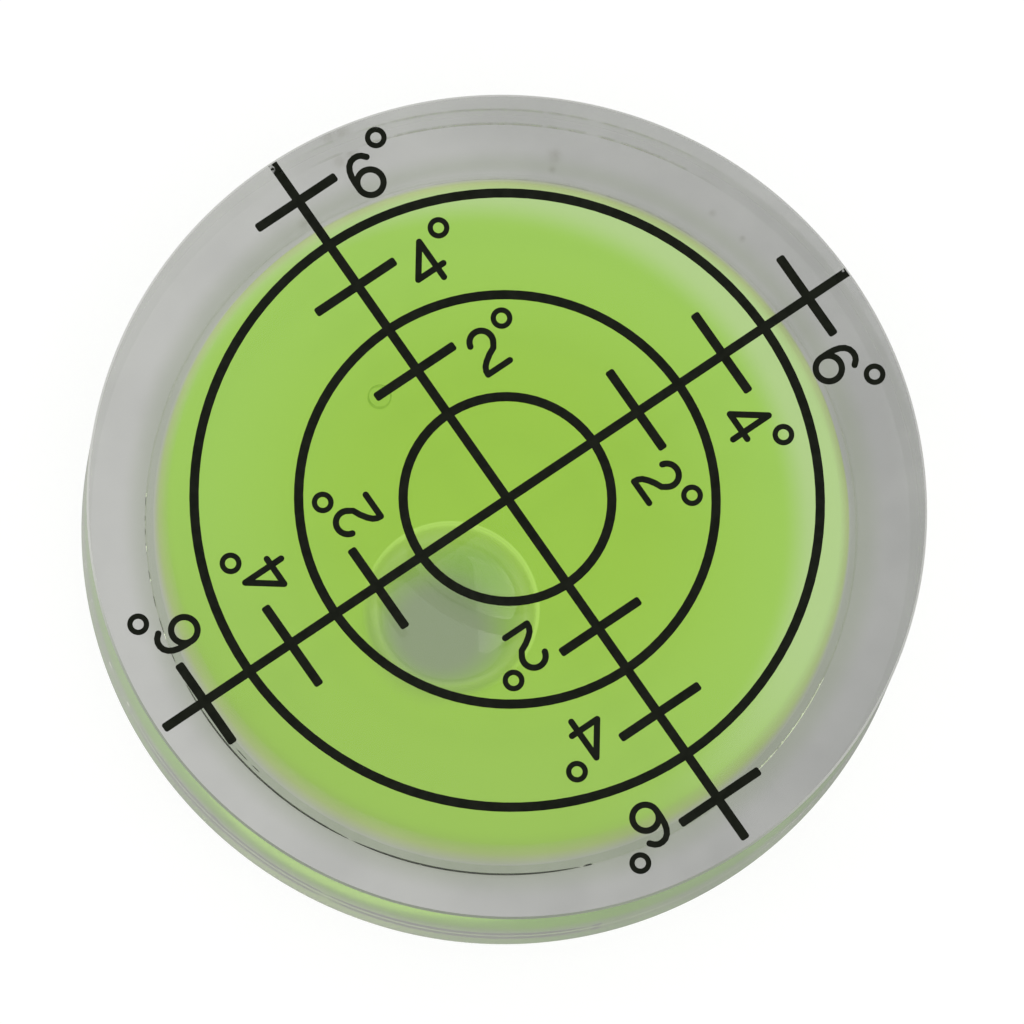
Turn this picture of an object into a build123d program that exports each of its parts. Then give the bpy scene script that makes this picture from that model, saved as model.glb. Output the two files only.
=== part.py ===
"""Circular bullseye spirit level, 60 mm across: a sealed acrylic vial with a bubble and a printed reticle.

The frame stands on the middle of the underside. +Z is up, along the axis of the disc. +X and +Y run along
two of the four printed arms. All lengths are in millimetres and all angles in degrees.
"""
from build123d import *
import math
import os

# Body
body_diameter = 60.0
body_height = 10.7
top_edge_break = 0.15
bottom_edge_break = 0.6

# Cavity, moulded from below with draft
ceiling_thickness = 3.4      # acrylic above the middle of the cavity
rim_width = 4.4              # flat rim of the underside, outside the rebate
ledge_width = 0.6            # ledge that the closing disc seats on
cavity_draft = 5.0
ceiling_chamfer = 0.5        # at 45 degrees between wall and dome

# Closing disc in its rebate
disc_thickness = 1.2
disc_recess = 0.1            # how far the disc lies above the underside
disc_clearance = 0.05        # on the radius, filled by cement
disc_chamfer = 0.15

# Filling hole and its plug
fill_hole_diameter = 1.75
fill_hole_distance = 12.7
fill_hole_angle = 99.0
plug_clearance = 0.02        # on the radius
plug_lead = 0.2
plug_length = 1.0

# Scale: what one ring of the reticle stands for sets the dome of the ceiling
degrees_per_ring = 2.0
ring_pitch = 7.45
ring_count = 3
dome_radius = ring_pitch / math.sin(math.radians(degrees_per_ring))

# Bubble
bubble_diameter = 12.7
bubble_off_level = 2.15      # tilt that moved the bubble off centre
bubble_heading = 206.4       # direction it moved, from +X
bubble_widest_depth = 1.05   # how far its widest level lies below the ceiling
bubble_side_radius = 1.5     # of its rounded side
bubble_shoulder_radius = 4.0  # of the bend from side to belly
bubble_belly_gap = 0.255     # how far its wide flat belly, run on, passes below the rounded side
bubble_belly_rise = 0.495    # how far the belly rises from its middle to there
bubble_overcut = 0.06        # how far the cut for it reaches past the ceiling

# Reticle print
ink_thickness = 0.06
line_width = 0.67
arm_overhang = 3.53          # how far an arm runs on past its last cross line
tick_place = 0.52            # where a cross line stands between two rings, as a share of the pitch
tick_length = 6.9
tick_shift = 0.18            # each cross line lies this much to one side of its arm
line_end_radius = 0.18
print_offset_x = 0.22        # the print is this much off the middle of the body
print_offset_y = 0.33

# Radii and heights that follow from the sizes above
body_radius = body_diameter / 2
rebate_radius = body_radius - rim_width
mouth_radius = rebate_radius - ledge_width
ledge_height = disc_recess + disc_thickness
crown_height = body_height - ceiling_thickness
dome_centre_height = crown_height - dome_radius


def ceiling_height(radius):
    """Height of the domed ceiling at a distance from the axis."""
    return dome_centre_height + math.sqrt(dome_radius ** 2 - radius ** 2)


def wall_radius(height):
    """Radius of the drafted cavity wall at a height."""
    return mouth_radius - (height - ledge_height) * math.tan(math.radians(cavity_draft))


def ceiling_corner():
    """Where the drafted wall meets the dome, found by a few steps of substitution."""
    radius = mouth_radius
    for _ in range(20):
        radius = wall_radius(ceiling_height(radius))
    return radius, ceiling_height(radius)


corner_radius, corner_height = ceiling_corner()
wall_top_height = corner_height - ceiling_chamfer
wall_top_radius = wall_radius(wall_top_height)
chamfer_end_radius = wall_top_radius - (crown_height - wall_top_height)


# The cavity as a solid: the body is cut by it and the spirit fills it
with BuildPart(mode=Mode.PRIVATE) as cavity:
    with BuildSketch(Plane.XZ):
        with BuildLine():
            Polyline(
                (0, crown_height),
                (0, ledge_height),
                (mouth_radius, ledge_height),
                (wall_top_radius, wall_top_height),
                (chamfer_end_radius, crown_height),
                close=True,
            )
        make_face()
    revolve(axis=Axis.Z)
    with Locations((0, 0, dome_centre_height)):
        Sphere(dome_radius, rotation=(90, 0, 0), mode=Mode.INTERSECT)


# One clear acrylic body with a domed ceiling
with BuildPart() as vial_body:
    Cylinder(body_radius, body_height, align=(Align.CENTER, Align.CENTER, Align.MIN))
    chamfer(vial_body.edges().group_by(Axis.Z)[-1], top_edge_break)
    chamfer(vial_body.edges().group_by(Axis.Z)[0], bottom_edge_break)
    Cylinder(
        rebate_radius,
        ledge_height,
        align=(Align.CENTER, Align.CENTER, Align.MIN),
        mode=Mode.SUBTRACT,
    )
    add(cavity.part, mode=Mode.SUBTRACT)
vial_body.part.label = "vial_body"


# Closing disc, with a groove chamfer for the cement and the filling hole
disc_radius = rebate_radius - disc_clearance
hole_angle = math.radians(fill_hole_angle)
hole_x = fill_hole_distance * math.cos(hole_angle)
hole_y = fill_hole_distance * math.sin(hole_angle)
with BuildPart() as base_disc:
    with Locations((0, 0, disc_recess)):
        Cylinder(disc_radius, disc_thickness, align=(Align.CENTER, Align.CENTER, Align.MIN))
    chamfer(base_disc.edges().group_by(Axis.Z)[0], disc_chamfer)
    with Locations((hole_x, hole_y, ledge_height)):
        Hole(fill_hole_diameter / 2, depth=disc_thickness)
base_disc.part.label = "base_disc"


# Cement in the groove round the disc
with BuildPart() as bond_bead:
    with BuildSketch(Plane.XZ):
        with BuildLine():
            Polyline(
                (disc_radius - disc_chamfer, disc_recess),
                (disc_radius, disc_recess + disc_chamfer),
                (disc_radius, ledge_height),
                (rebate_radius, ledge_height),
                (rebate_radius, disc_recess),
                close=True,
            )
        make_face()
    revolve(axis=Axis.Z)
bond_bead.part.label = "bond_bead"


# Plug in the filling hole, flush with the inside of the disc
plug_radius = fill_hole_diameter / 2 - plug_clearance
with BuildPart() as fill_plug:
    with Locations((hole_x, hole_y, ledge_height)):
        Cylinder(plug_radius, plug_length, align=(Align.CENTER, Align.CENTER, Align.MAX))
    chamfer(fill_plug.edges().group_by(Axis.Z)[-1], plug_lead)
fill_plug.part.label = "fill_plug"


# Air bubble: a flattened cap that lies against the dome, square to it
heading = math.radians(bubble_heading)
off_level = math.radians(bubble_off_level)
horizontal = Vector(math.cos(heading), math.sin(heading), 0)
bubble_up = horizontal * math.sin(off_level) + Vector(0, 0, math.cos(off_level))
bubble_out = horizontal * math.cos(off_level) - Vector(0, 0, math.sin(off_level))
bubble_top = Vector(0, 0, dome_centre_height) + bubble_up * dome_radius
bubble_section = Plane(origin=bubble_top, x_dir=bubble_out, z_dir=bubble_out.cross(bubble_up))

# Three tangent arcs: the side meets the ceiling above, a shoulder leads from it to the belly. The shoulder's
# centre is as far from the other two centres as their radii differ.
side_centre_x = bubble_diameter / 2 - bubble_side_radius
contact_radius = side_centre_x + math.sqrt(bubble_side_radius ** 2 - bubble_widest_depth ** 2)
side_centre = Vector(side_centre_x, -bubble_widest_depth)
bubble_depth = bubble_widest_depth + bubble_side_radius + bubble_belly_gap + bubble_belly_rise
bubble_belly_radius = (side_centre_x ** 2 + bubble_belly_rise ** 2) / (2 * bubble_belly_rise)
belly_centre = Vector(0, bubble_belly_radius - bubble_depth)
side_gap = bubble_shoulder_radius - bubble_side_radius
belly_gap = bubble_belly_radius - bubble_shoulder_radius
centre_line = belly_centre - side_centre
along_line = (side_gap ** 2 - belly_gap ** 2 + centre_line.length ** 2) / (2 * centre_line.length)
off_line = math.sqrt(side_gap ** 2 - along_line ** 2)
line_direction = centre_line.normalized()
line_normal = Vector(-line_direction.Y, line_direction.X)
shoulder_centre = side_centre + line_direction * along_line + line_normal * off_line
side_end = side_centre + (side_centre - shoulder_centre).normalized() * bubble_side_radius
shoulder_end = belly_centre + (shoulder_centre - belly_centre).normalized() * bubble_belly_radius
with BuildPart() as bubble:
    with BuildSketch(bubble_section):
        with BuildLine():
            Polyline(
                (0, -bubble_depth),
                (0, bubble_overcut),
                (contact_radius, bubble_overcut),
                (contact_radius, 0),
            )
            RadiusArc((contact_radius, 0), side_end, bubble_side_radius)
            RadiusArc(side_end, shoulder_end, bubble_shoulder_radius)
            RadiusArc(shoulder_end, (0, -bubble_depth), bubble_belly_radius)
        make_face()
    revolve(axis=Axis(bubble_top, bubble_up))


# Green spirit: fills the cavity apart from the bubble
with BuildPart() as spirit_fill:
    add(cavity.part)
    add(bubble.part, mode=Mode.SUBTRACT)
spirit_fill.part.label = "spirit_fill"


# Reticle: rings, cross and cross lines in one layer of ink, cut off where the flat top ends
print_plane = Plane.XY.offset(body_height)
flat_top_radius = body_radius - top_edge_break
arm_length = (ring_count + tick_place) * ring_pitch + arm_overhang
with BuildPart() as reticle_print:
    with BuildSketch(print_plane):
        with Locations((print_offset_x, print_offset_y)):
            for ring in range(ring_count, 0, -1):
                Circle(ring * ring_pitch + line_width / 2)
                Circle(ring * ring_pitch - line_width / 2, mode=Mode.SUBTRACT)
            RectangleRounded(2 * arm_length, line_width, line_end_radius)
            RectangleRounded(line_width, 2 * arm_length, line_end_radius)
            with PolarLocations(0, 4):
                for tick in range(1, ring_count + 1):
                    with Locations(((tick + tick_place) * ring_pitch, tick_shift)):
                        RectangleRounded(line_width, tick_length, line_end_radius)
        Circle(flat_top_radius, mode=Mode.INTERSECT)
    extrude(amount=ink_thickness)
reticle_print.part.label = "reticle_print"


# One file for each piece
os.makedirs("parts", exist_ok=True)
export_step(vial_body.part, "parts/vial_body.step")
export_step(base_disc.part, "parts/base_disc.step")
export_step(bond_bead.part, "parts/bond_bead.step")
export_step(fill_plug.part, "parts/fill_plug.step")
export_step(spirit_fill.part, "parts/spirit_fill.step")
export_step(reticle_print.part, "parts/reticle_print.step")
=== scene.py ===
"""Looks of the bullseye level: clear acrylic, green spirit, the air bubble and the printed reticle.

Sizes are in millimetres and angles in degrees, and a mesh is scaled to metres when it is made. Colours are
red, green and blue in linear light, and a heading is a direction in the plane of the level.
The clear pieces are smooth meshes of revolution with the form of the solids that they replace. Light bends
where two of them meet by the ratio of their indices, so each stretch of an outline has a material of its own.
"""
import math
import random

import bmesh
import bpy
from mathutils import Matrix, Vector


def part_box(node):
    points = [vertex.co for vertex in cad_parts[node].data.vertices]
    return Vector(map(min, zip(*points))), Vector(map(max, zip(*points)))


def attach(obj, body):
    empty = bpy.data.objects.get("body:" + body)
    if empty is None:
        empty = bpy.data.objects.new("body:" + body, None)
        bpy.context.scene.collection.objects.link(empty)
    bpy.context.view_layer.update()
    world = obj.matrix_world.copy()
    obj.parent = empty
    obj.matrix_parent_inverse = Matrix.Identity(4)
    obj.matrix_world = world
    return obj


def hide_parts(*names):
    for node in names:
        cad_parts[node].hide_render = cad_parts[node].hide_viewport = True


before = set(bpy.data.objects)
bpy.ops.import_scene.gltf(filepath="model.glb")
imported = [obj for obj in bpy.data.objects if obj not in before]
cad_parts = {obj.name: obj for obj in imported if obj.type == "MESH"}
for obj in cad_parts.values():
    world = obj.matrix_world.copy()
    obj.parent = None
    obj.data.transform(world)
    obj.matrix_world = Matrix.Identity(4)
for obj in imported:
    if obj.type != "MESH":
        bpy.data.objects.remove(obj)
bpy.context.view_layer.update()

MM = 0.001


def box_mm(node):
    """Lowest and highest corner of a solid, in millimetres."""
    low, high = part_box(node)
    return low / MM, high / MM


# Sizes that the frame gives
body_high = box_mm("vial_body")[1]
disc_low, disc_high = box_mm("base_disc")
spirit_high = box_mm("spirit_fill")[1]
plug_low, plug_high = box_mm("fill_plug")
body_radius = body_high.x
body_height = body_high.z
disc_recess = disc_low.z
ledge_height = disc_high.z
rebate_radius = box_mm("bond_bead")[1].x
mouth_radius = spirit_high.x
crown_height = spirit_high.z
plug_radius = (plug_high.x - plug_low.x) / 2
plug_middle = (plug_low + plug_high) / 2
ink_height = box_mm("reticle_print")[1].z

# Sizes that the source of the solids gives
top_edge_break = 0.15
bottom_edge_break = 0.6
cavity_draft = 5.0
ceiling_chamfer = 0.5
disc_chamfer = 0.15
plug_clearance = 0.02
degrees_per_ring = 2.0
ring_pitch = 7.45
dome_radius = ring_pitch / math.sin(math.radians(degrees_per_ring))
bubble_diameter = 12.7
bubble_depth = 3.3
bubble_off_level = 2.15
bubble_heading = 206.4
bubble_widest_depth = 1.05
bubble_side_radius = 1.5
bubble_shoulder_radius = 4.0
bubble_belly_radius = 24.0   # rounded
print_offset = (0.22, 0.33)

# Optics and meshes
acrylic_index = 1.49
spirit_index = 1.47
plug_index_step = 1.03       # the plug is another grade of acrylic, so its edge shows
film = 0.01                  # free space between two clear pieces, so that no faces coincide
joint_radius = rebate_radius - film
round_steps = 256            # steps of a mesh round its axis
small_round_steps = 128

# The photograph: its view, and where the level lies in its frame of 1024 pixels
photo_size = 1024
pixels_per_mm = 14.04        # at the printed face
sensor_width = 36.0
lens = 571.0
view_tilt = 12.3             # off the level's axis
near_heading = (-0.7815, -0.6239)   # the side of the level that is nearest to the camera
frame_turn = 16.98           # how far the picture is turned about the line of sight
face_centre_px = (507.6, 504.4)
grime_px = [                 # stains on the underside as the photograph shows them, with a radius in mm
    (555, 152, 0.55), (553, 166, 0.3), (548, 107, 0.4), (715, 210, 0.28), (745, 236, 0.25),
    (350, 150, 0.5), (338, 158, 0.45), (303, 222, 0.5),
]

# Finish of the acrylic
wall_roughness = 0.08
# Painted light on the wall: a faint tint on the far side, and green painted high up on the side near the
# camera, which is also made hazier
wall_far_painted_tint = (0.93, 0.89, 0.93)
wall_near_painted_light = (0.90, 0.90, 0.86), (0.72, 0.95, 0.45)    # low and high on the wall
wall_clearness = 0.96, 0.6                                    # on the far side and near the camera
break_roughness = 0.3
# Painted shade on the top edge: dark on the side near the camera
top_break_painted_shade = (0.90, 0.90, 0.88), (0.42, 0.46, 0.38)    # on the far side and near the camera
top_break_clearness = 0.55
underside_roughness = 0.2
dull_edge_colour = (0.50, 0.50, 0.46)
dull_edge_clearness = 0.25
grime_colour = (0.36, 0.33, 0.22)
grime_heading = (0.6, 0.8)   # the side where grime lies in the bottom corner
grime_width = 0.05, 0.28     # where that grime starts and stops to fade, outward from the corner

# Finish of the joint, the cement and the glue
# Painted shade on the ledge cement: darker on the side near the camera
ledge_cement_painted_shade = (0.96, 0.97, 0.95), (0.86, 0.90, 0.82)   # on the far side and near the camera
ledge_mottle_tint = (0.95, 0.96, 0.93)
groove_cement_colour = (0.93, 0.94, 0.88)
dark_joint_colours = (0.03, 0.033, 0.025), (0.10, 0.105, 0.08)
# A painted highlight in the joint: pale slivers that glow
painted_highlight_colours = (0.62, 0.62, 0.52), (0.95, 0.95, 0.90)
painted_highlight_glow = (1.0, 0.98, 0.90)
painted_highlight_glow_strength = 0.35
plug_glue_tints = (0.80, 0.86, 0.60), (0.93, 0.95, 0.85)
plug_glue_thickness = 0.12

# Finish of the spirit, the bubble and the ink
spirit_colour = (0.81, 1.0, 0.03)
spirit_density = 160         # for each metre of depth
# A painted glow in the spirit, for the dye's fluorescence
painted_fluorescence_colour = (0.62, 1.0, 0.12)
painted_fluorescence_strength = 14
bubble_steep_radius = 5.6    # the bubble's side is steep outside it
# A painted glow on the bubble's rim, stronger toward one heading, and a patch of painted shade beside the
# bubble on that side
bubble_glow_radius = 6.08     # and glows outside this
bubble_painted_glow_colour = (0.41, 0.67, 0.11)
bubble_painted_light_heading = (0.93, 0.37)
bubble_painted_glow_share = 0.08, 0.85   # against its heading and toward it
bubble_painted_shade_distance = 3.4    # from the bubble's foot to the middle of its dim patch
bubble_painted_shade_radius = 2.6
bubble_painted_shade_colour = (0.84, 0.92, 0.72)
ink_colours = (0.005, 0.0068, 0.003), (0.009, 0.011, 0.006)
ink_roughness = 0.5, 0.68
ink_specular = 0.09
ink_worn_heading = (1, 1)
ink_worn_width = 1.3, 0.4    # from the wall to where the wear starts and to where it is full


def arc(centre_x, centre_y, radius, start, end, steps):
    """Points of a round stretch of an outline, with its angles in degrees."""
    points = []
    for step in range(steps + 1):
        angle = math.radians(start + (end - start) * step / steps)
        points.append((centre_x + radius * math.cos(angle), centre_y + radius * math.sin(angle)))
    return points


def seen_through(pixel_x, pixel_y, depth):
    """The place under the printed face, at a depth, that a pixel of the photograph shows."""
    turn = math.radians(frame_turn)
    right = (pixel_x - face_centre_px[0]) / pixels_per_mm
    down = (pixel_y - face_centre_px[1]) / pixels_per_mm
    across = right * math.cos(turn) + down * math.sin(turn)
    tilt = math.radians(view_tilt)
    bent = math.asin(math.sin(tilt) / acrylic_index)
    near = (down * math.cos(turn) - right * math.sin(turn)) / math.cos(tilt) - depth * math.tan(bent)
    near_x, near_y = near_heading
    return -near_y * across + near_x * near, near_x * across + near_y * near


def put_in_scene(name, vertices, faces, materials, indices=None, smooth_angle=25):
    """Makes an object from a mesh in millimetres, smooth except at edges sharper than smooth_angle."""
    mesh = bpy.data.meshes.new(name)
    mesh.from_pydata([Vector(v) * MM for v in vertices], [], faces)
    for material in materials:
        mesh.materials.append(material)
    if indices:
        mesh.polygons.foreach_set("material_index", indices)
    mesh.validate()
    mesh.shade_smooth()
    mesh.set_sharp_from_angle(angle=math.radians(smooth_angle))
    piece = bpy.data.objects.new(name, mesh)
    bpy.context.scene.collection.objects.link(piece)
    return piece


def outward(piece):
    """Turns all faces of a closed mesh outward."""
    form = bmesh.new()
    form.from_mesh(piece.data)
    bmesh.ops.recalc_face_normals(form, faces=form.faces)
    form.to_mesh(piece.data)
    form.free()
    return piece


def combined(piece, operation, tools):
    """Joins other closed meshes to a piece or cuts them out of it, and throws them away."""
    for tool in tools:
        boolean = piece.modifiers.new("boolean", "BOOLEAN")
        boolean.operation = operation
        boolean.solver = "EXACT"
        boolean.object = tool
    bpy.context.view_layer.update()
    graph = bpy.context.evaluated_depsgraph_get()
    mesh = bpy.data.meshes.new_from_object(piece.evaluated_get(graph))
    piece.modifiers.clear()
    piece.data = mesh
    for tool in tools:
        bpy.data.objects.remove(tool)
    return piece


def finish_piece(piece, slot, *nodes):
    """Attaches a piece to the root body and hides the solids that it replaces. Its slot is not used."""
    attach(piece, "root")
    if nodes:
        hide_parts(*nodes)


def revolved(name, stretches, steps=round_steps, place=Matrix.Identity(4)):
    """A closed mesh of revolution about Z. Its outline runs from axis to axis, with the inside on the left,
    in stretches of (material, points)."""
    materials = []
    rings = []
    vertices = []
    faces = []
    indices = []
    previous = None
    for material, points in stretches:
        if material not in materials:
            materials.append(material)
        for radius, height in points:
            if previous and math.dist(previous, (radius, height)) < 1e-6:
                continue
            first = len(vertices)
            count = 1 if radius < 1e-6 else steps
            for step in range(count):
                angle = 2 * math.pi * step / steps
                vertices.append(place @ Vector((radius * math.cos(angle), radius * math.sin(angle), height)))
            rings.append((first, count))
            if previous:
                (low, low_count), (high, high_count) = rings[-2:]
                for step in range(steps):
                    after = (step + 1) % steps
                    corners = [low + step % low_count, low + after % low_count]
                    corners += [high + after % high_count, high + step % high_count]
                    faces.append(list(dict.fromkeys(corners)))
                    indices.append(materials.index(material))
            previous = (radius, height)
    return put_in_scene(name, vertices, faces, materials, indices)


def bubble_place():
    """The bubble's axis: square to the dome, where the tilt has driven it."""
    tilt = Matrix.Rotation(math.radians(bubble_off_level), 4, "Y")
    turn = Matrix.Rotation(math.radians(bubble_heading), 4, "Z")
    centre = Matrix.Translation((0, 0, crown_height - dome_radius))
    return centre @ turn @ tilt @ Matrix.Translation((0, 0, dome_radius))


# Shader nodes
def add_node(material, kind, inputs=None, **settings):
    """Adds a shader node with its settings, and a plain value or a link for each input."""
    node = material.node_tree.nodes.new(kind)
    for name, value in settings.items():
        setattr(node, name, value)
    for socket, value in (inputs or {}).items():
        if isinstance(value, bpy.types.NodeSocket):
            material.node_tree.links.new(value, node.inputs[socket])
        else:
            node.inputs[socket].default_value = value
    return node


def new_material(name):
    """A node material with nothing in it yet. What glows is met by chance, which is quick enough here."""
    material = bpy.data.materials.new(name)
    material.use_nodes = True
    material.cycles.emission_sampling = "NONE"
    material.node_tree.nodes.clear()
    return material


def close_material(material, surface, volume=None):
    """Links the finished shaders to the material's output."""
    ends = {"Surface": surface}
    if volume:
        ends["Volume"] = volume
    add_node(material, "ShaderNodeOutputMaterial", ends)
    return material


def as_input(colour):
    """The output of a node as it is, and a plain colour with its alpha."""
    return colour if isinstance(colour, bpy.types.NodeSocket) else (*colour, 1)


def object_place(material):
    return add_node(material, "ShaderNodeTexCoord").outputs["Object"]


def ramp(material, value, low, high, at_low=0.0, at_high=1.0):
    """Goes smoothly from at_low to at_high as the value goes from low to high."""
    inputs = {"Value": value, "From Min": low, "From Max": high, "To Min": at_low, "To Max": at_high}
    return add_node(material, "ShaderNodeMapRange", inputs, interpolation_type="SMOOTHSTEP").outputs["Result"]


def uneven(material, place, scale, detail, low, high, at_low=0.0, at_high=1.0):
    """Soft patches, at_low where the noise is below low and at_high where it is above high."""
    inputs = {"Vector": place, "Scale": scale, "Detail": detail}
    noise = add_node(material, "ShaderNodeTexNoise", inputs).outputs["Fac"]
    return ramp(material, noise, low, high, at_low, at_high)


def calculated(material, operation, first, second):
    return add_node(material, "ShaderNodeMath", {0: first, 1: second}, operation=operation).outputs[0]


def product(material, first, second):
    return calculated(material, "MULTIPLY", first, second)


def inverse(material, share):
    return calculated(material, "SUBTRACT", 1.0, share)


def vector_math(material, operation, first, second, output="Vector"):
    inputs = {0: first, 1: second}
    return add_node(material, "ShaderNodeVectorMath", inputs, operation=operation).outputs[output]


def mixed(material, share, first, second):
    """A colour between two others, each a plain colour or the output of a node."""
    inputs = {"Factor": share, "A": as_input(first), "B": as_input(second)}
    return add_node(material, "ShaderNodeMix", inputs, data_type="RGBA").outputs["Result"]


def mixed_shader(material, share, first, second):
    return add_node(material, "ShaderNodeMixShader", {0: share, 1: first, 2: second}).outputs[0]


def level_place(material, place):
    """A place without its height."""
    return vector_math(material, "MULTIPLY", place, (1, 1, 0))


def off_axis(material, place):
    """Distance from the level's axis."""
    return vector_math(material, "DISTANCE", level_place(material, place), (0, 0, 0), "Value")


def near_point(material, place, point, radius, softness):
    """1 within a radius of a point and 0 outside it. Lengths in millimetres."""
    away = vector_math(material, "DISTANCE", place, tuple(c * MM for c in point), "Value")
    return ramp(material, away, (radius - softness) * MM, (radius + softness) * MM, 1.0, 0.0)


def toward(material, place, heading, reach):
    """How far a place lies to one side of the axis: -1 to 1 across the level."""
    direction = (heading[0] / (reach * MM), heading[1] / (reach * MM), 0)
    return vector_math(material, "DOT_PRODUCT", place, direction, "Value")


def transparent(material, tint=(1, 1, 1)):
    return add_node(material, "ShaderNodeBsdfTransparent", {"Color": as_input(tint)}).outputs[0]


def glow(material, colour, strength=1.0):
    inputs = {"Color": as_input(colour), "Strength": strength}
    return add_node(material, "ShaderNodeEmission", inputs).outputs[0]


def principled(material, inputs):
    return add_node(material, "ShaderNodeBsdfPrincipled", inputs).outputs[0]


def clear_shader(material, index, roughness=0.0, clearness=1.0, colour=(1, 1, 1)):
    """A clear solid whose surface bends light by the ratio of two indices.

    It casts no hard shadow: a shadow ray meets a transparent shader instead."""
    inputs = {"Base Color": as_input(colour), "Roughness": roughness, "IOR": index}
    inputs["Transmission Weight"] = clearness
    shader = principled(material, inputs)
    shadow_ray = add_node(material, "ShaderNodeLightPath").outputs["Is Shadow Ray"]
    return mixed_shader(material, shadow_ray, shader, transparent(material))


# Materials
def clear_material(name, index, roughness=0.0):
    material = new_material(name)
    return close_material(material, clear_shader(material, index, roughness))


def wall_material():
    """The turned side wall, nearly polished. Its colour is painted light: on the side near the camera it is
    hazier and painted green high up, where the spirit's light shows, and the far side has a faint painted
    tint.
    """
    material = new_material("acrylic_turned_wall")
    place = object_place(material)
    near = ramp(material, toward(material, place, near_heading, body_radius), -0.2, 0.6)
    height = vector_math(material, "DOT_PRODUCT", place, (0, 0, 1 / (body_height * MM)), "Value")
    painted_green = mixed(material, ramp(material, height, 0.45, 0.7), *wall_near_painted_light)
    colour = mixed(material, near, wall_far_painted_tint, painted_green)
    clearness = ramp(material, near, 0, 1, *wall_clearness)
    return close_material(material, clear_shader(material, acrylic_index, wall_roughness, clearness, colour))


def top_break_material():
    """The broken top edge: pale on the far side and darkened by painted shade on the side near the camera."""
    material = new_material("acrylic_top_break")
    place = object_place(material)
    near = ramp(material, toward(material, place, near_heading, body_radius), 0.35, 0.75)
    colour = mixed(material, near, *top_break_painted_shade)
    shader = clear_shader(material, acrylic_index, break_roughness, top_break_clearness, colour)
    return close_material(material, shader)


def underside_material():
    """The rim that the level stands on: scuffed, with a brown stain at each place where grime sits."""
    material = new_material("acrylic_underside")
    place = object_place(material)
    cover = uneven(material, place, 1800, 2, 0.3, 0.6, 0.25, 0.45)
    colour = (1, 1, 1)
    for x, y, radius in grime_px:
        soft = radius * 0.8
        stain = near_point(material, place, (*seen_through(x, y, body_height), 0), soft, soft)
        colour = mixed(material, product(material, stain, cover), colour, grime_colour)
    return close_material(material, clear_shader(material, acrylic_index, underside_roughness, 1.0, colour))


def bottom_break_material():
    """The broken bottom edge: nearly clear, with a line of grime in its corner on one side."""
    material = new_material("acrylic_bottom_break")
    place = object_place(material)
    start, end = (body_radius - bottom_edge_break + width for width in grime_width)
    inner = ramp(material, off_axis(material, place), start * MM, end * MM, 1.0, 0.0)
    side = ramp(material, toward(material, place, grime_heading, body_radius), 0.82, 0.92)
    broken = uneven(material, place, 500, 4, 0.38, 0.55, 0.1, 0.7)
    grime = product(material, product(material, inner, side), broken)
    colour = mixed(material, grime, dull_edge_colour, grime_colour)
    dull = clear_shader(material, acrylic_index, break_roughness, dull_edge_clearness, colour)
    thin = ramp(material, grime, 0.0, 1.0, 0.96, 0.4)
    return close_material(material, mixed_shader(material, thin, dull, transparent(material)))


def cavity_corner_material():
    """The chamfer between ceiling and wall: moulded less smooth, so it shows as a pale line."""
    material = new_material("cavity_corner")
    clearness = uneven(material, object_place(material), 400, 3, 0.3, 0.7, 0.99, 0.965)
    return close_material(material, clear_shader(material, acrylic_index / spirit_index, 0.1, clearness))


def bonded_material():
    """A surface between two bonded pieces of one index: nothing of it shows."""
    material = new_material("bonded_joint")
    return close_material(material, transparent(material))


def ledge_cement_material():
    """Cement on the ledge: a grey-green tint with a fine mottle, darkened by painted shade near the camera.
    """
    material = new_material("ledge_cement")
    place = object_place(material)
    near = ramp(material, toward(material, place, near_heading, rebate_radius), -0.2, 1.0)
    tint = mixed(material, near, *ledge_cement_painted_shade)
    mottle = uneven(material, place, 900, 4, 0.35, 0.65, 0.0, 0.25)
    return close_material(material, transparent(material, mixed(material, mottle, tint, ledge_mottle_tint)))


def groove_cement_material():
    """The cement's lower face in the groove: clear, with a fine mottle."""
    material = new_material("bond_cement")
    clearness = uneven(material, object_place(material), 900, 4, 0.35, 0.6, 0.97, 0.85)
    shader = clear_shader(material, acrylic_index, underside_roughness, clearness, groove_cement_colour)
    return close_material(material, shader)


def dark_joint_material():
    """Dark, broken slivers in the joint."""
    material = new_material("dark_joint")
    place = object_place(material)
    colour = mixed(material, uneven(material, place, 700, 3, 0.3, 0.7), *dark_joint_colours)
    cover = uneven(material, place, 1600, 3, 0.3, 0.5, 0.7, 0.95)
    inputs = {"Base Color": colour, "Roughness": 0.8, "Alpha": cover}
    return close_material(material, principled(material, inputs))


def painted_highlight_material():
    """Pale cement slivers in the joint with a painted glow: a painted highlight along the joint."""
    material = new_material("painted_highlight_cement")
    tone = uneven(material, object_place(material), 1800, 3, 0.35, 0.6)
    inputs = {"Base Color": mixed(material, tone, *painted_highlight_colours), "Roughness": 0.6}
    inputs["Emission Color"] = as_input(painted_highlight_glow)
    inputs["Emission Strength"] = painted_highlight_glow_strength
    return close_material(material, principled(material, inputs))


def plug_glue_material():
    """Glue round the plug: yellowish and half clear."""
    material = new_material("plug_glue")
    tone = uneven(material, object_place(material), 1200, 2, 0.3, 0.7)
    return close_material(material, transparent(material, mixed(material, tone, *plug_glue_tints)))


def spirit_material():
    """Green spirit: it takes blue and some red out of the light that passes."""
    material = new_material("green_spirit")
    inputs = {"Color": as_input(spirit_colour), "Density": spirit_density}
    absorb = add_node(material, "ShaderNodeVolumeAbsorption", inputs).outputs[0]
    return close_material(material, clear_shader(material, 1), absorb)


def fluorescence_material():
    """A painted glow for the dye's fluorescence: a fixed green glow in the spirit that does not follow the
    lamps, the more of it the deeper the spirit.
    """
    material = new_material("fluorescence")
    light = glow(material, painted_fluorescence_colour, painted_fluorescence_strength)
    return close_material(material, transparent(material), light)


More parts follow.
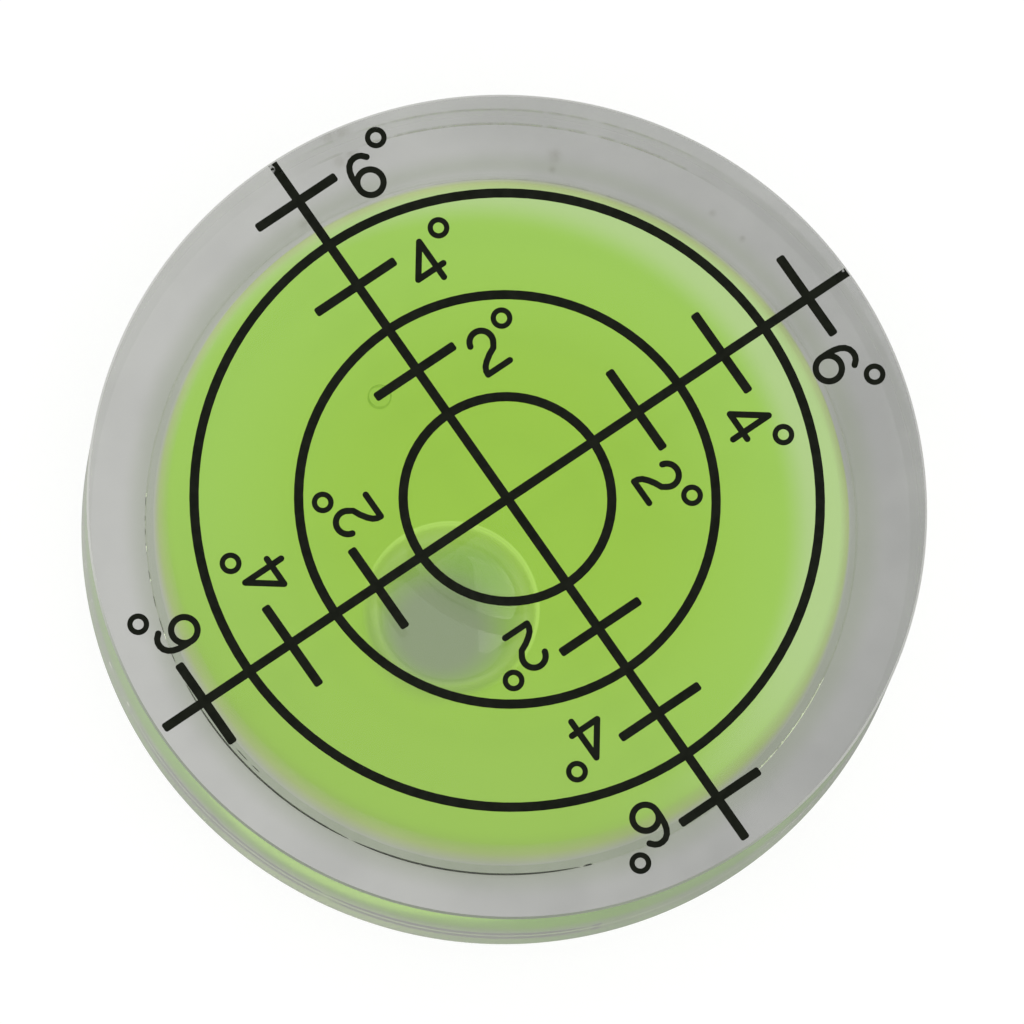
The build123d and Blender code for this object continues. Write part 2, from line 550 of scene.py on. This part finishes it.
def bubble_material():
    """The spirit's surface round the bubble. Its steep rim is transparent, with a painted glow on the far
    side, and a patch beside the bubble is tinted with painted shade.
    """
    material = new_material("bubble_surface")
    level = level_place(material, object_place(material))
    foot = bubble_place().translation
    axis = (foot.x, foot.y, 0)
    from_axis = vector_math(material, "SUBTRACT", level, tuple(c * MM for c in axis))
    far = toward(material, from_axis, bubble_painted_light_heading, bubble_diameter / 2)
    far = ramp(material, far, -0.6, 0.6, *bubble_painted_glow_share)
    steep = inverse(material, near_point(material, level, axis, bubble_steep_radius, 0.35))
    rim = inverse(material, near_point(material, level, axis, bubble_glow_radius, 0.15))
    painted_glow = product(material, rim, far)
    edge = mixed_shader(material, painted_glow, transparent(material), glow(material, bubble_painted_glow_colour))
    dim_x, dim_y = (bubble_painted_shade_distance * part for part in bubble_painted_light_heading)
    dim = near_point(material, level, (foot.x + dim_x, foot.y + dim_y, 0), bubble_painted_shade_radius, 1.4)
    colour = mixed(material, dim, (1, 1, 1), bubble_painted_shade_colour)
    clear = clear_shader(material, 1 / spirit_index, colour=colour)
    return close_material(material, mixed_shader(material, steep, clear, edge))


def ink_material():
    """Matte black printing ink: slightly uneven, with pinholes and wear where two arms run off the face."""
    material = new_material("black_ink")
    place = object_place(material)
    inputs = {
        "Base Color": mixed(material, uneven(material, place, 1500, 3, 0.3, 0.7), *ink_colours),
        "Roughness": uneven(material, place, 600, 2, 0.3, 0.7, *ink_roughness),
        "Specular IOR Level": ink_specular,
    }
    start, full = (body_radius - width for width in ink_worn_width)
    edge = ramp(material, off_axis(material, place), start * MM, full * MM)
    side = ramp(material, toward(material, place, ink_worn_heading, body_radius), 0.3, 0.6)
    holes = uneven(material, place, 2400, 1, 0.56, 0.62, 0.0, 0.85)
    worn = product(material, product(material, edge, side), holes)
    printed = principled(material, inputs)
    return close_material(material, mixed_shader(material, worn, printed, transparent(material)))


polished = clear_material("acrylic_to_air", acrylic_index)
wetted = clear_material("acrylic_to_spirit", acrylic_index / spirit_index)
disc_underside = clear_material("acrylic_disc_underside", acrylic_index, underside_roughness)
plug_acrylic = clear_material("plug_acrylic", plug_index_step)
wall = wall_material()
top_break = top_break_material()
underside = underside_material()
bottom_break = bottom_break_material()
cavity_corner = cavity_corner_material()
bonded = bonded_material()
ledge_cement = ledge_cement_material()
groove_cement = groove_cement_material()
dark_joint = dark_joint_material()
painted_highlight_cement = painted_highlight_material()
plug_glue = plug_glue_material()
spirit = spirit_material()
fluorescence = fluorescence_material()
air_in_spirit = bubble_material()
ink = ink_material()


# The acrylic, the cement and the spirit
def ceiling_height(radius):
    """Height of the domed ceiling at a distance from the axis."""
    return crown_height - dome_radius + math.sqrt(dome_radius ** 2 - radius ** 2)


def wall_radius(height):
    """Radius of the drafted cavity wall at a height."""
    return mouth_radius - (height - ledge_height) * math.tan(math.radians(cavity_draft))


def cavity_outline(inset=0.0):
    """The cavity's ceiling and wall, from the axis to the mouth, drawn in by inset."""
    corner = mouth_radius
    for _ in range(20):
        corner = wall_radius(ceiling_height(corner))
    wall_top = ceiling_height(corner) - ceiling_chamfer
    chamfer_radius = wall_radius(wall_top)
    chamfer_height = wall_top
    search_step = 0.002
    while chamfer_height < ceiling_height(chamfer_radius):
        chamfer_radius -= search_step
        chamfer_height += search_step
    dome_steps = 24
    corner_inset = inset * 0.4   # sideways at the chamfer's top and down at its foot
    points = [(chamfer_radius * step / dome_steps, ceiling_height(chamfer_radius * step / dome_steps) - inset)
              for step in range(dome_steps)]
    points.append((chamfer_radius - corner_inset, chamfer_height - inset))
    points.append((wall_radius(wall_top) - inset, wall_top - corner_inset))
    points.append((mouth_radius - inset, ledge_height + inset))
    return points


def flat(height, inner, outer):
    """Points across a flat face, from one radius to the other, so that no facet is a long sliver."""
    stops = [0, 0.5, 2, 6, 15]
    between = [stop for stop in stops if min(inner, outer) < stop < max(inner, outer)]
    points = [(stop, height) for stop in sorted([inner, outer] + between)]
    return points if inner < outer else list(reversed(points))


def shell_piece():
    """The acrylic body, with its domed cavity and the rebate for the closing disc."""
    *dome, chamfer_foot, mouth = cavity_outline()
    return revolved("vial_body_clear", [
        (wetted, dome),
        (cavity_corner, [chamfer_foot]),
        (bonded, [mouth]),
        (ledge_cement, [(rebate_radius, ledge_height)]),
        (bonded, [(rebate_radius, 0)]),
        (underside, [(body_radius - bottom_edge_break, 0)]),
        (bottom_break, [(body_radius, bottom_edge_break)]),
        (wall, [(body_radius, body_height - top_edge_break)]),
        (top_break, [(body_radius - top_edge_break, body_height)]),
        (polished, flat(body_height, body_radius - top_edge_break, 0)),
    ])


def disc_piece():
    """The closing disc, which wets the spirit inside the mouth and is cemented outside it."""
    return revolved("base_disc_clear", [
        (disc_underside, flat(disc_recess, 0, joint_radius - disc_chamfer)),
        (bonded, [(joint_radius, disc_recess + disc_chamfer)]),
        (bonded, [(joint_radius, ledge_height - film)]),
        (bonded, [(mouth_radius, ledge_height - film)]),
        (wetted, flat(ledge_height - film, mouth_radius, 0)),
    ])


def bead_piece():
    """The cement that fills the groove between the disc and the rim of the underside."""
    inner = joint_radius - disc_chamfer
    outer = joint_radius - film
    low = disc_recess
    high = disc_recess + disc_chamfer - film
    return revolved("cement_bead", [
        (groove_cement, [(inner, low), (outer, low)]),
        (bonded, [(outer, high), (inner, low)]),
    ])


def plug_seam_piece():
    """The thin glue line round the plug."""
    outer = plug_radius + plug_clearance / 2
    inner = outer - plug_glue_thickness
    low = plug_low.z + 0.05
    high = plug_high.z - 0.25
    points = [(outer, low), (outer, high), (inner, high), (inner, low), (outer, low)]
    axis = Matrix.Translation((plug_middle.x, plug_middle.y, 0))
    return revolved("plug_seam", [(plug_glue, points)], small_round_steps, axis)


def seam_piece(name, material, start, end, low, high, outer, thickness):
    """A thin curved sliver in the cement round the disc, from one angle and height to another."""
    steps = max(int((end - start) / 0.6), 4)
    tip = 0.02                   # share of its section that is left at its ends
    inner_share = 0.8            # how high its inner side is
    vertices = []
    faces = []
    for step in range(steps + 1):
        share = step / steps
        angle = math.radians(start + (end - start) * share)
        full = math.sqrt(max(1 - (2 * share - 1) ** 4, 0)) * (1 - tip) + tip
        middle = (low + high) / 2
        half = (high - low) / 2 * full
        inner = outer - thickness * full
        for radius, height in ((outer, middle - half), (outer, middle + half),
                               (inner, middle + half * inner_share), (inner, middle - half * inner_share)):
            vertices.append((radius * math.cos(angle), radius * math.sin(angle), height))
        if step:
            a = 4 * (step - 1)
            b = 4 * step
            for side in range(4):
                after = (side + 1) % 4
                faces.append([a + side, a + after, b + after, b + side])
    faces.append([0, 1, 2, 3])
    faces.append([4 * steps + 3, 4 * steps + 2, 4 * steps + 1, 4 * steps])
    return outward(put_in_scene(name, vertices, faces, [material]))


def add_seam():
    """What shows of the joint round the disc: dark slivers, and pale slivers with a painted glow, a painted
    highlight along the joint.

    Each row has its angles, how much of it is filled, the longest sliver in degrees, the lowest and highest
    place in the joint, its outer radius, its thickness, and the material."""
    outer = joint_radius - film
    shortest = 0.2
    random.seed(11)
    number = 0
    for start, end, filled, longest, low, high, radius, thickness, material in (
        (173, 250, 0.995, 60, 0.15, 1.15, outer, 0.05, dark_joint),
        (179, 192, 0.92, 8, 0.60, 1.10, outer - 0.3, 0.03, dark_joint),
        (141, 173, 0.60, 3.0, 0.30, 0.80, outer, 0.03, dark_joint),
        (141, 172, 0.12, 1.2, 0.30, 0.90, outer, 0.05, painted_highlight_cement),
        (278, 300, 0.995, 22, 0.50, 1.00, outer, 0.05, painted_highlight_cement),
        (276, 299, 0.25, 0.6, 0.30, 0.90, outer, 0.10, painted_highlight_cement),
    ):
        angle = start
        while angle < end:
            reach = min(random.uniform(0.3, 1) * longest, end - angle)
            shift = random.uniform(0, 0.2)
            if reach > shortest:
                piece = seam_piece(f"joint_sliver_{number}", material, angle, angle + reach, low + shift,
                                   high + shift - 0.2, radius, thickness)
                finish_piece(piece, "bond_cement")
                number += 1
            angle += reach + random.uniform(0.5, 1.5) * longest * (1 / filled - 1)


def bubble_outline(inset):
    """Side, shoulder and belly of the bubble, drawn in by inset, from the ceiling down to the axis.

    Three arcs, each tangent to the next. The shoulder's centre lies where its distances to the other two
    centres are the differences of their radii."""
    side = Vector((bubble_diameter / 2 - bubble_side_radius, -bubble_widest_depth))
    belly = Vector((0, bubble_belly_radius - bubble_depth))
    across = belly - side
    to_side = bubble_shoulder_radius - bubble_side_radius
    to_belly = bubble_belly_radius - bubble_shoulder_radius
    along = (to_side ** 2 - to_belly ** 2 + across.length_squared) / (2 * across.length)
    off = math.sqrt(to_side ** 2 - along ** 2)
    unit = across.normalized()
    shoulder = side + unit * along + Vector((-unit.y, unit.x)) * off
    contact = math.degrees(math.asin(bubble_widest_depth / bubble_side_radius))
    side_end = math.degrees(math.atan2(side.y - shoulder.y, side.x - shoulder.x))
    belly_end = math.degrees(math.atan2(shoulder.y - belly.y, shoulder.x - belly.x))
    return (
        arc(side.x, side.y, bubble_side_radius - inset, contact, side_end, 40)
        + arc(shoulder.x, shoulder.y, bubble_shoulder_radius - inset, side_end, belly_end, 24)
        + arc(belly.x, belly.y, bubble_belly_radius - inset, belly_end, -90, 16)
    )


def bubble_piece():
    """The air bubble's surface, a hair inside the pocket that the spirit leaves for it."""
    below = bubble_outline(2 * film)
    top_steps = 12
    top = []
    for step in range(top_steps, -1, -1):
        radius = below[0][0] * step / top_steps
        top.append((radius, math.sqrt(dome_radius ** 2 - radius ** 2) - dome_radius - 2 * film))
    below = [point for point in below if point[1] < top[0][1]]
    outline = list(reversed(below)) + top
    return revolved("air_bubble", [(air_in_spirit, outline)], small_round_steps, bubble_place())


def spirit_piece(name, material, inset):
    """The spirit, with the pocket that the bubble fills. The glow is a second one, drawn in a hair more."""
    mouth, *above = reversed(cavity_outline(inset))
    piece = revolved(name, [
        (material, flat(ledge_height + inset, 0, mouth[0])),
        (material, above),
    ])
    pocket = bubble_outline(film - inset)
    over = 0.4                   # how far the cut reaches past the ceiling
    outline = list(reversed(pocket)) + [(pocket[0][0], over), (0, over)]
    tool = revolved("pocket", [(material, outline)], small_round_steps, bubble_place())
    return combined(piece, "DIFFERENCE", [tool])


# Numerals and degree marks, drawn beside the arm along +Y and turned for the others
stroke_width = 0.455
degree_radius = 0.59
degree_stroke = 0.385
digit_strokes = {
    "2": (
        arc(4.96, 10.42, 0.85, 168, -35, 18),
        [(5.656, 9.932), (5.45, 9.62), (4.95, 9.38), (4.5, 9.08), (4.2, 8.8), (4.05, 8.5), (4.02, 8.21)],
        [(4.02, 8.21), (5.91, 8.21)],
    ),
    "4": (
        [(5.46, 18.95), (5.47, 15.84)],
        [(5.46, 18.95), (3.83, 16.70)],
        [(3.83, 16.70), (6.01, 16.70)],
    ),
    "6": (
        arc(5.057, 24.487, 0.94, 0, 360, 48),
        [(5.88, 26.17), (5.62, 26.45), (5.35, 26.58), (5.057, 26.6), (4.74, 26.52), (4.47, 26.3),
         (4.28, 25.98), (4.17, 25.6), (4.12, 25.1), (4.117, 24.487)],
    ),
}
degree_places = {"2": (7.165, 11.07), "4": (7.194, 19.02), "6": (7.236, 26.966)}


def round_end(point, along, side, half):
    """Points round the end of a line of ink, from one side of it to the other."""
    steps = 12
    angles = [math.pi * step / steps for step in range(1, steps)]
    return [point + side * half * math.cos(a) + along * half * math.sin(a) for a in angles]


def stroke(name, path, width, turn):
    """A closed line of ink along a path: a flat ribbon with round ends, or a ring if the path closes."""
    half = width / 2
    closed = math.dist(path[0], path[-1]) < 1e-6
    points = [Vector(point) for point in path]
    if closed:
        points = points[:-1]
    count = len(points)
    sides = []
    for index, point in enumerate(points):
        before = points[(index - 1) % count] if closed or index else point
        after = points[(index + 1) % count] if closed or index < count - 1 else point
        along = (after - before).normalized()
        sides.append((point, along, Vector((-along.y, along.x))))
    left = [point + side * half for point, along, side in sides]
    right = [point - side * half for point, along, side in sides]
    if closed:
        loops = [left, right]
    else:
        point, along, side = sides[0]
        start = round_end(point, -along, -side, half)
        loops = [left + round_end(*sides[-1], half) + list(reversed(right)) + start]
    vertices = []
    for height in (body_height, ink_height):
        for loop in loops:
            vertices += [turn @ Vector((point.x, point.y, height)) for point in loop]
    total = sum(len(loop) for loop in loops)
    faces = []
    if closed:
        for step in range(count):
            after = (step + 1) % count
            for base in (0, total):
                faces.append([base + step, base + after, base + count + after, base + count + step])
            for loop_start in (0, count):
                a, b = loop_start + step, loop_start + after
                faces.append([a, b, b + total, a + total])
    else:
        faces.append(list(range(total)))
        faces.append(list(range(total, 2 * total)))
        for step in range(total):
            after = (step + 1) % total
            faces.append([step, after, after + total, step + total])
    return outward(put_in_scene(name, vertices, faces, [ink]))


def numerals_of_arm(index):
    """The three numerals beside one arm, with their degree marks."""
    turn = Matrix.Translation((*print_offset, 0)) @ Matrix.Rotation(math.radians(-90 * index), 4, "Z")
    pieces = []
    for digit, strokes in digit_strokes.items():
        for number, path in enumerate(strokes):
            pieces.append(stroke(f"numeral_{digit}_{index}_{number}", path, stroke_width, turn))
        ring = arc(*degree_places[digit], degree_radius, 0, 360, 40)
        pieces.append(stroke(f"degree_{digit}_{index}", ring, degree_stroke, turn))
    piece = combined(pieces[0], "UNION", pieces[1:])
    piece.name = f"numerals_arm_{index + 1}"
    return piece


finish_piece(shell_piece(), "clear_acrylic", "vial_body")
finish_piece(disc_piece(), "clear_acrylic", "base_disc")
finish_piece(spirit_piece("spirit_body", spirit, film), "green_spirit", "spirit_fill")
finish_piece(spirit_piece("spirit_glow", fluorescence, 3 * film), "green_spirit")
finish_piece(bubble_piece(), "green_spirit")
for arm in range(4):
    finish_piece(numerals_of_arm(arm), "black_ink")
finish_piece(bead_piece(), "bond_cement", "bond_bead")
finish_piece(plug_seam_piece(), "bond_cement")
add_seam()
for node, material in (("fill_plug", plug_acrylic), ("reticle_print", ink)):
    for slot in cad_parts[node].material_slots:
        slot.material = material


# Floor, lights and camera
floor_drop = 0.02
floor_reach = 3000
floor_glow = 0.75            # share of the floor's white that shadows don't reach
floor_white = 1.07
world_light = 0.75
covered_radius = mouth_radius - 0.2
# Light and shade painted on the floor by place, which rays through the level meet
rim_light = (0.345, 0.350, 0.336), (0.500, 0.505, 0.482)      # on the dim and on the bright side
bright_heading = (-0.82, 0.57)
spirit_light = (0.296, 0.451, 0.095), (0.325, 0.502, 0.168)   # in the middle and at the edge
spirit_near_light = (0.305, 0.450, 0.155)
spirit_shadow_centre = (0.86, 0.69)   # cuts the green off a little on the side near the camera
brim_light = (0.45, 0.54, 0.50)       # on the spirit's far edge
brim_centre = (-1.6, 1.0)
brim_radius = 23.2
bubble_light = (0.215, 0.252, 0.215)
bubble_light_shift = (-0.92, -0.19)
bubble_light_radius = 4.3
bubble_shade = (0.22, 0.37, 0.07)     # round the grey middle
bubble_shade_shift = (0.4, 0.3)
bubble_shade_radius = 5.7
bubble_shade_share = 0.9
joint_shade = (0.26, 0.30, 0.20)      # the joint's own shade on the paper
joint_shade_share = 0.45
joint_shade_outer = (0.3, 0.1), 26.7  # its centre and radius
joint_shade_inner = (1.2, 0.9), 24.6


def floor_material():
    """A pale floor. It is white to the camera and grey under the level, as in the photograph.

    Rays that come through the level meet painted light instead: the light and shade that the level would let
    down on the covered paper is painted on by place.
    It is full under the rim, green under the spirit and grey again straight below the bubble, with painted
    shade round the bubble and at the joint."""
    material = new_material("floor_paper")
    place = add_node(material, "ShaderNodeNewGeometry").outputs["Position"]
    near = ramp(material, toward(material, place, near_heading, body_radius), 0.0, 0.7)
    foot = bubble_place().translation

    def spot(centre, radius, softness):
        """1 within a circle on the floor and 0 outside it."""
        return near_point(material, place, (*centre, -floor_drop), radius, softness)

    def from_foot(shift):
        return foot.x + shift[0], foot.y + shift[1]

    side = ramp(material, toward(material, place, bright_heading, body_radius), -1.3, 1.3)
    clouds = uneven(material, place, 130, 3, 0.3, 0.7, -0.16, 0.16)
    rim = mixed(material, calculated(material, "ADD", side, clouds), *rim_light)

    middle = ramp(material, off_axis(material, place), 0.35 * mouth_radius * MM, 0.9 * mouth_radius * MM)
    green = mixed(material, middle, *spirit_light)
    green = mixed(material, near, green, spirit_near_light)
    brim = product(material, inverse(material, spot(brim_centre, brim_radius, 1.2)), inverse(material, near))
    green = mixed(material, brim, green, brim_light)
    full = spot((0, 0), covered_radius, 0.5)
    cut_off = spot(spirit_shadow_centre, covered_radius, 0.6)
    light = mixed(material, product(material, full, cut_off), rim, green)

    shaded = spot(from_foot(bubble_shade_shift), bubble_shade_radius, 1.0)
    light = mixed(material, product(material, shaded, bubble_shade_share), light, bubble_shade)
    below_bubble = spot(from_foot(bubble_light_shift), bubble_light_radius, 1.7)
    light = mixed(material, below_bubble, light, bubble_light)

    ring = calculated(material, "SUBTRACT", spot(*joint_shade_outer, 1.0), spot(*joint_shade_inner, 0.7))
    light = mixed(material, product(material, ring, joint_shade_share), light, joint_shade)

    paper = add_node(material, "ShaderNodeBsdfDiffuse", {"Color": (1, 1, 1, 1)}).outputs[0]
    seen = mixed_shader(material, floor_glow, paper, glow(material, (1, 1, 1), floor_white))
    camera_ray = add_node(material, "ShaderNodeLightPath").outputs["Is Camera Ray"]
    return close_material(material, mixed_shader(material, camera_ray, glow(material, light), seen))


def add_floor():
    """A round floor under the level."""
    sides = 64
    points = arc(0, 0, floor_reach, 0, 360 - 360 / sides, sides - 1)
    floor = put_in_scene("floor", [(x, y, 0) for x, y in points], [list(range(sides))], [floor_material()])
    floor.location.z = -floor_drop * MM


def add_world():
    """An even white studio."""
    world = bpy.data.worlds.new("studio")
    bpy.context.scene.world = world
    world.use_nodes = True
    nodes = world.node_tree.nodes
    links = world.node_tree.links
    background = nodes["Background"]
    path = nodes.new("ShaderNodeLightPath")
    strength = nodes.new("ShaderNodeMix")
    strength.inputs["A"].default_value = world_light
    strength.inputs["B"].default_value = 1
    links.new(path.outputs["Is Camera Ray"], strength.inputs["Factor"])
    links.new(strength.outputs["Result"], background.inputs["Strength"])
    background.inputs["Color"].default_value = (1, 1, 1, 1)


def add_lamp(name, place, size, watts):
    """A soft square lamp that looks at the level."""
    data = bpy.data.lights.new(name, "AREA")
    data.shape = "SQUARE"
    data.size = size * MM
    data.energy = watts
    lamp = bpy.data.objects.new(name, data)
    lamp.location = Vector(place) * MM
    lamp.rotation_euler = lamp.location.to_track_quat("Z", "Y").to_euler()
    bpy.context.scene.collection.objects.link(lamp)


def add_camera():
    """The photograph's own view."""
    near = Vector((*near_heading, 0)).normalized()
    across = Vector((-near.y, near.x, 0))
    tilt = math.radians(view_tilt)
    to_camera = near * math.sin(tilt) + Vector((0, 0, math.cos(tilt)))
    toward_near = near * math.cos(tilt) - Vector((0, 0, math.sin(tilt)))
    turn = math.radians(frame_turn)
    right = across * math.cos(turn) - toward_near * math.sin(turn)
    down = across * math.sin(turn) + toward_near * math.cos(turn)
    off_right = photo_size / 2 - face_centre_px[0]
    off_down = photo_size / 2 - face_centre_px[1]
    target = Vector((0, 0, body_height)) + (right * off_right + down * off_down) / pixels_per_mm
    distance = lens * photo_size / pixels_per_mm / sensor_width
    data = bpy.data.cameras.new("camera")
    data.sensor_width = sensor_width
    data.lens = lens
    data.clip_start = 0.01
    data.clip_end = 20
    camera = bpy.data.objects.new("camera", data)
    turned = Matrix((right, -down, to_camera)).transposed().to_4x4()
    camera.matrix_world = Matrix.Translation((target + to_camera * distance) * MM) @ turned
    bpy.context.scene.collection.objects.link(camera)
    bpy.context.scene.camera = camera


add_floor()
add_world()
add_lamp("overhead_lamp", (-500, 300, 1100), 900, 3.0)
add_camera()
bpy.context.scene.view_settings.view_transform = "Standard"
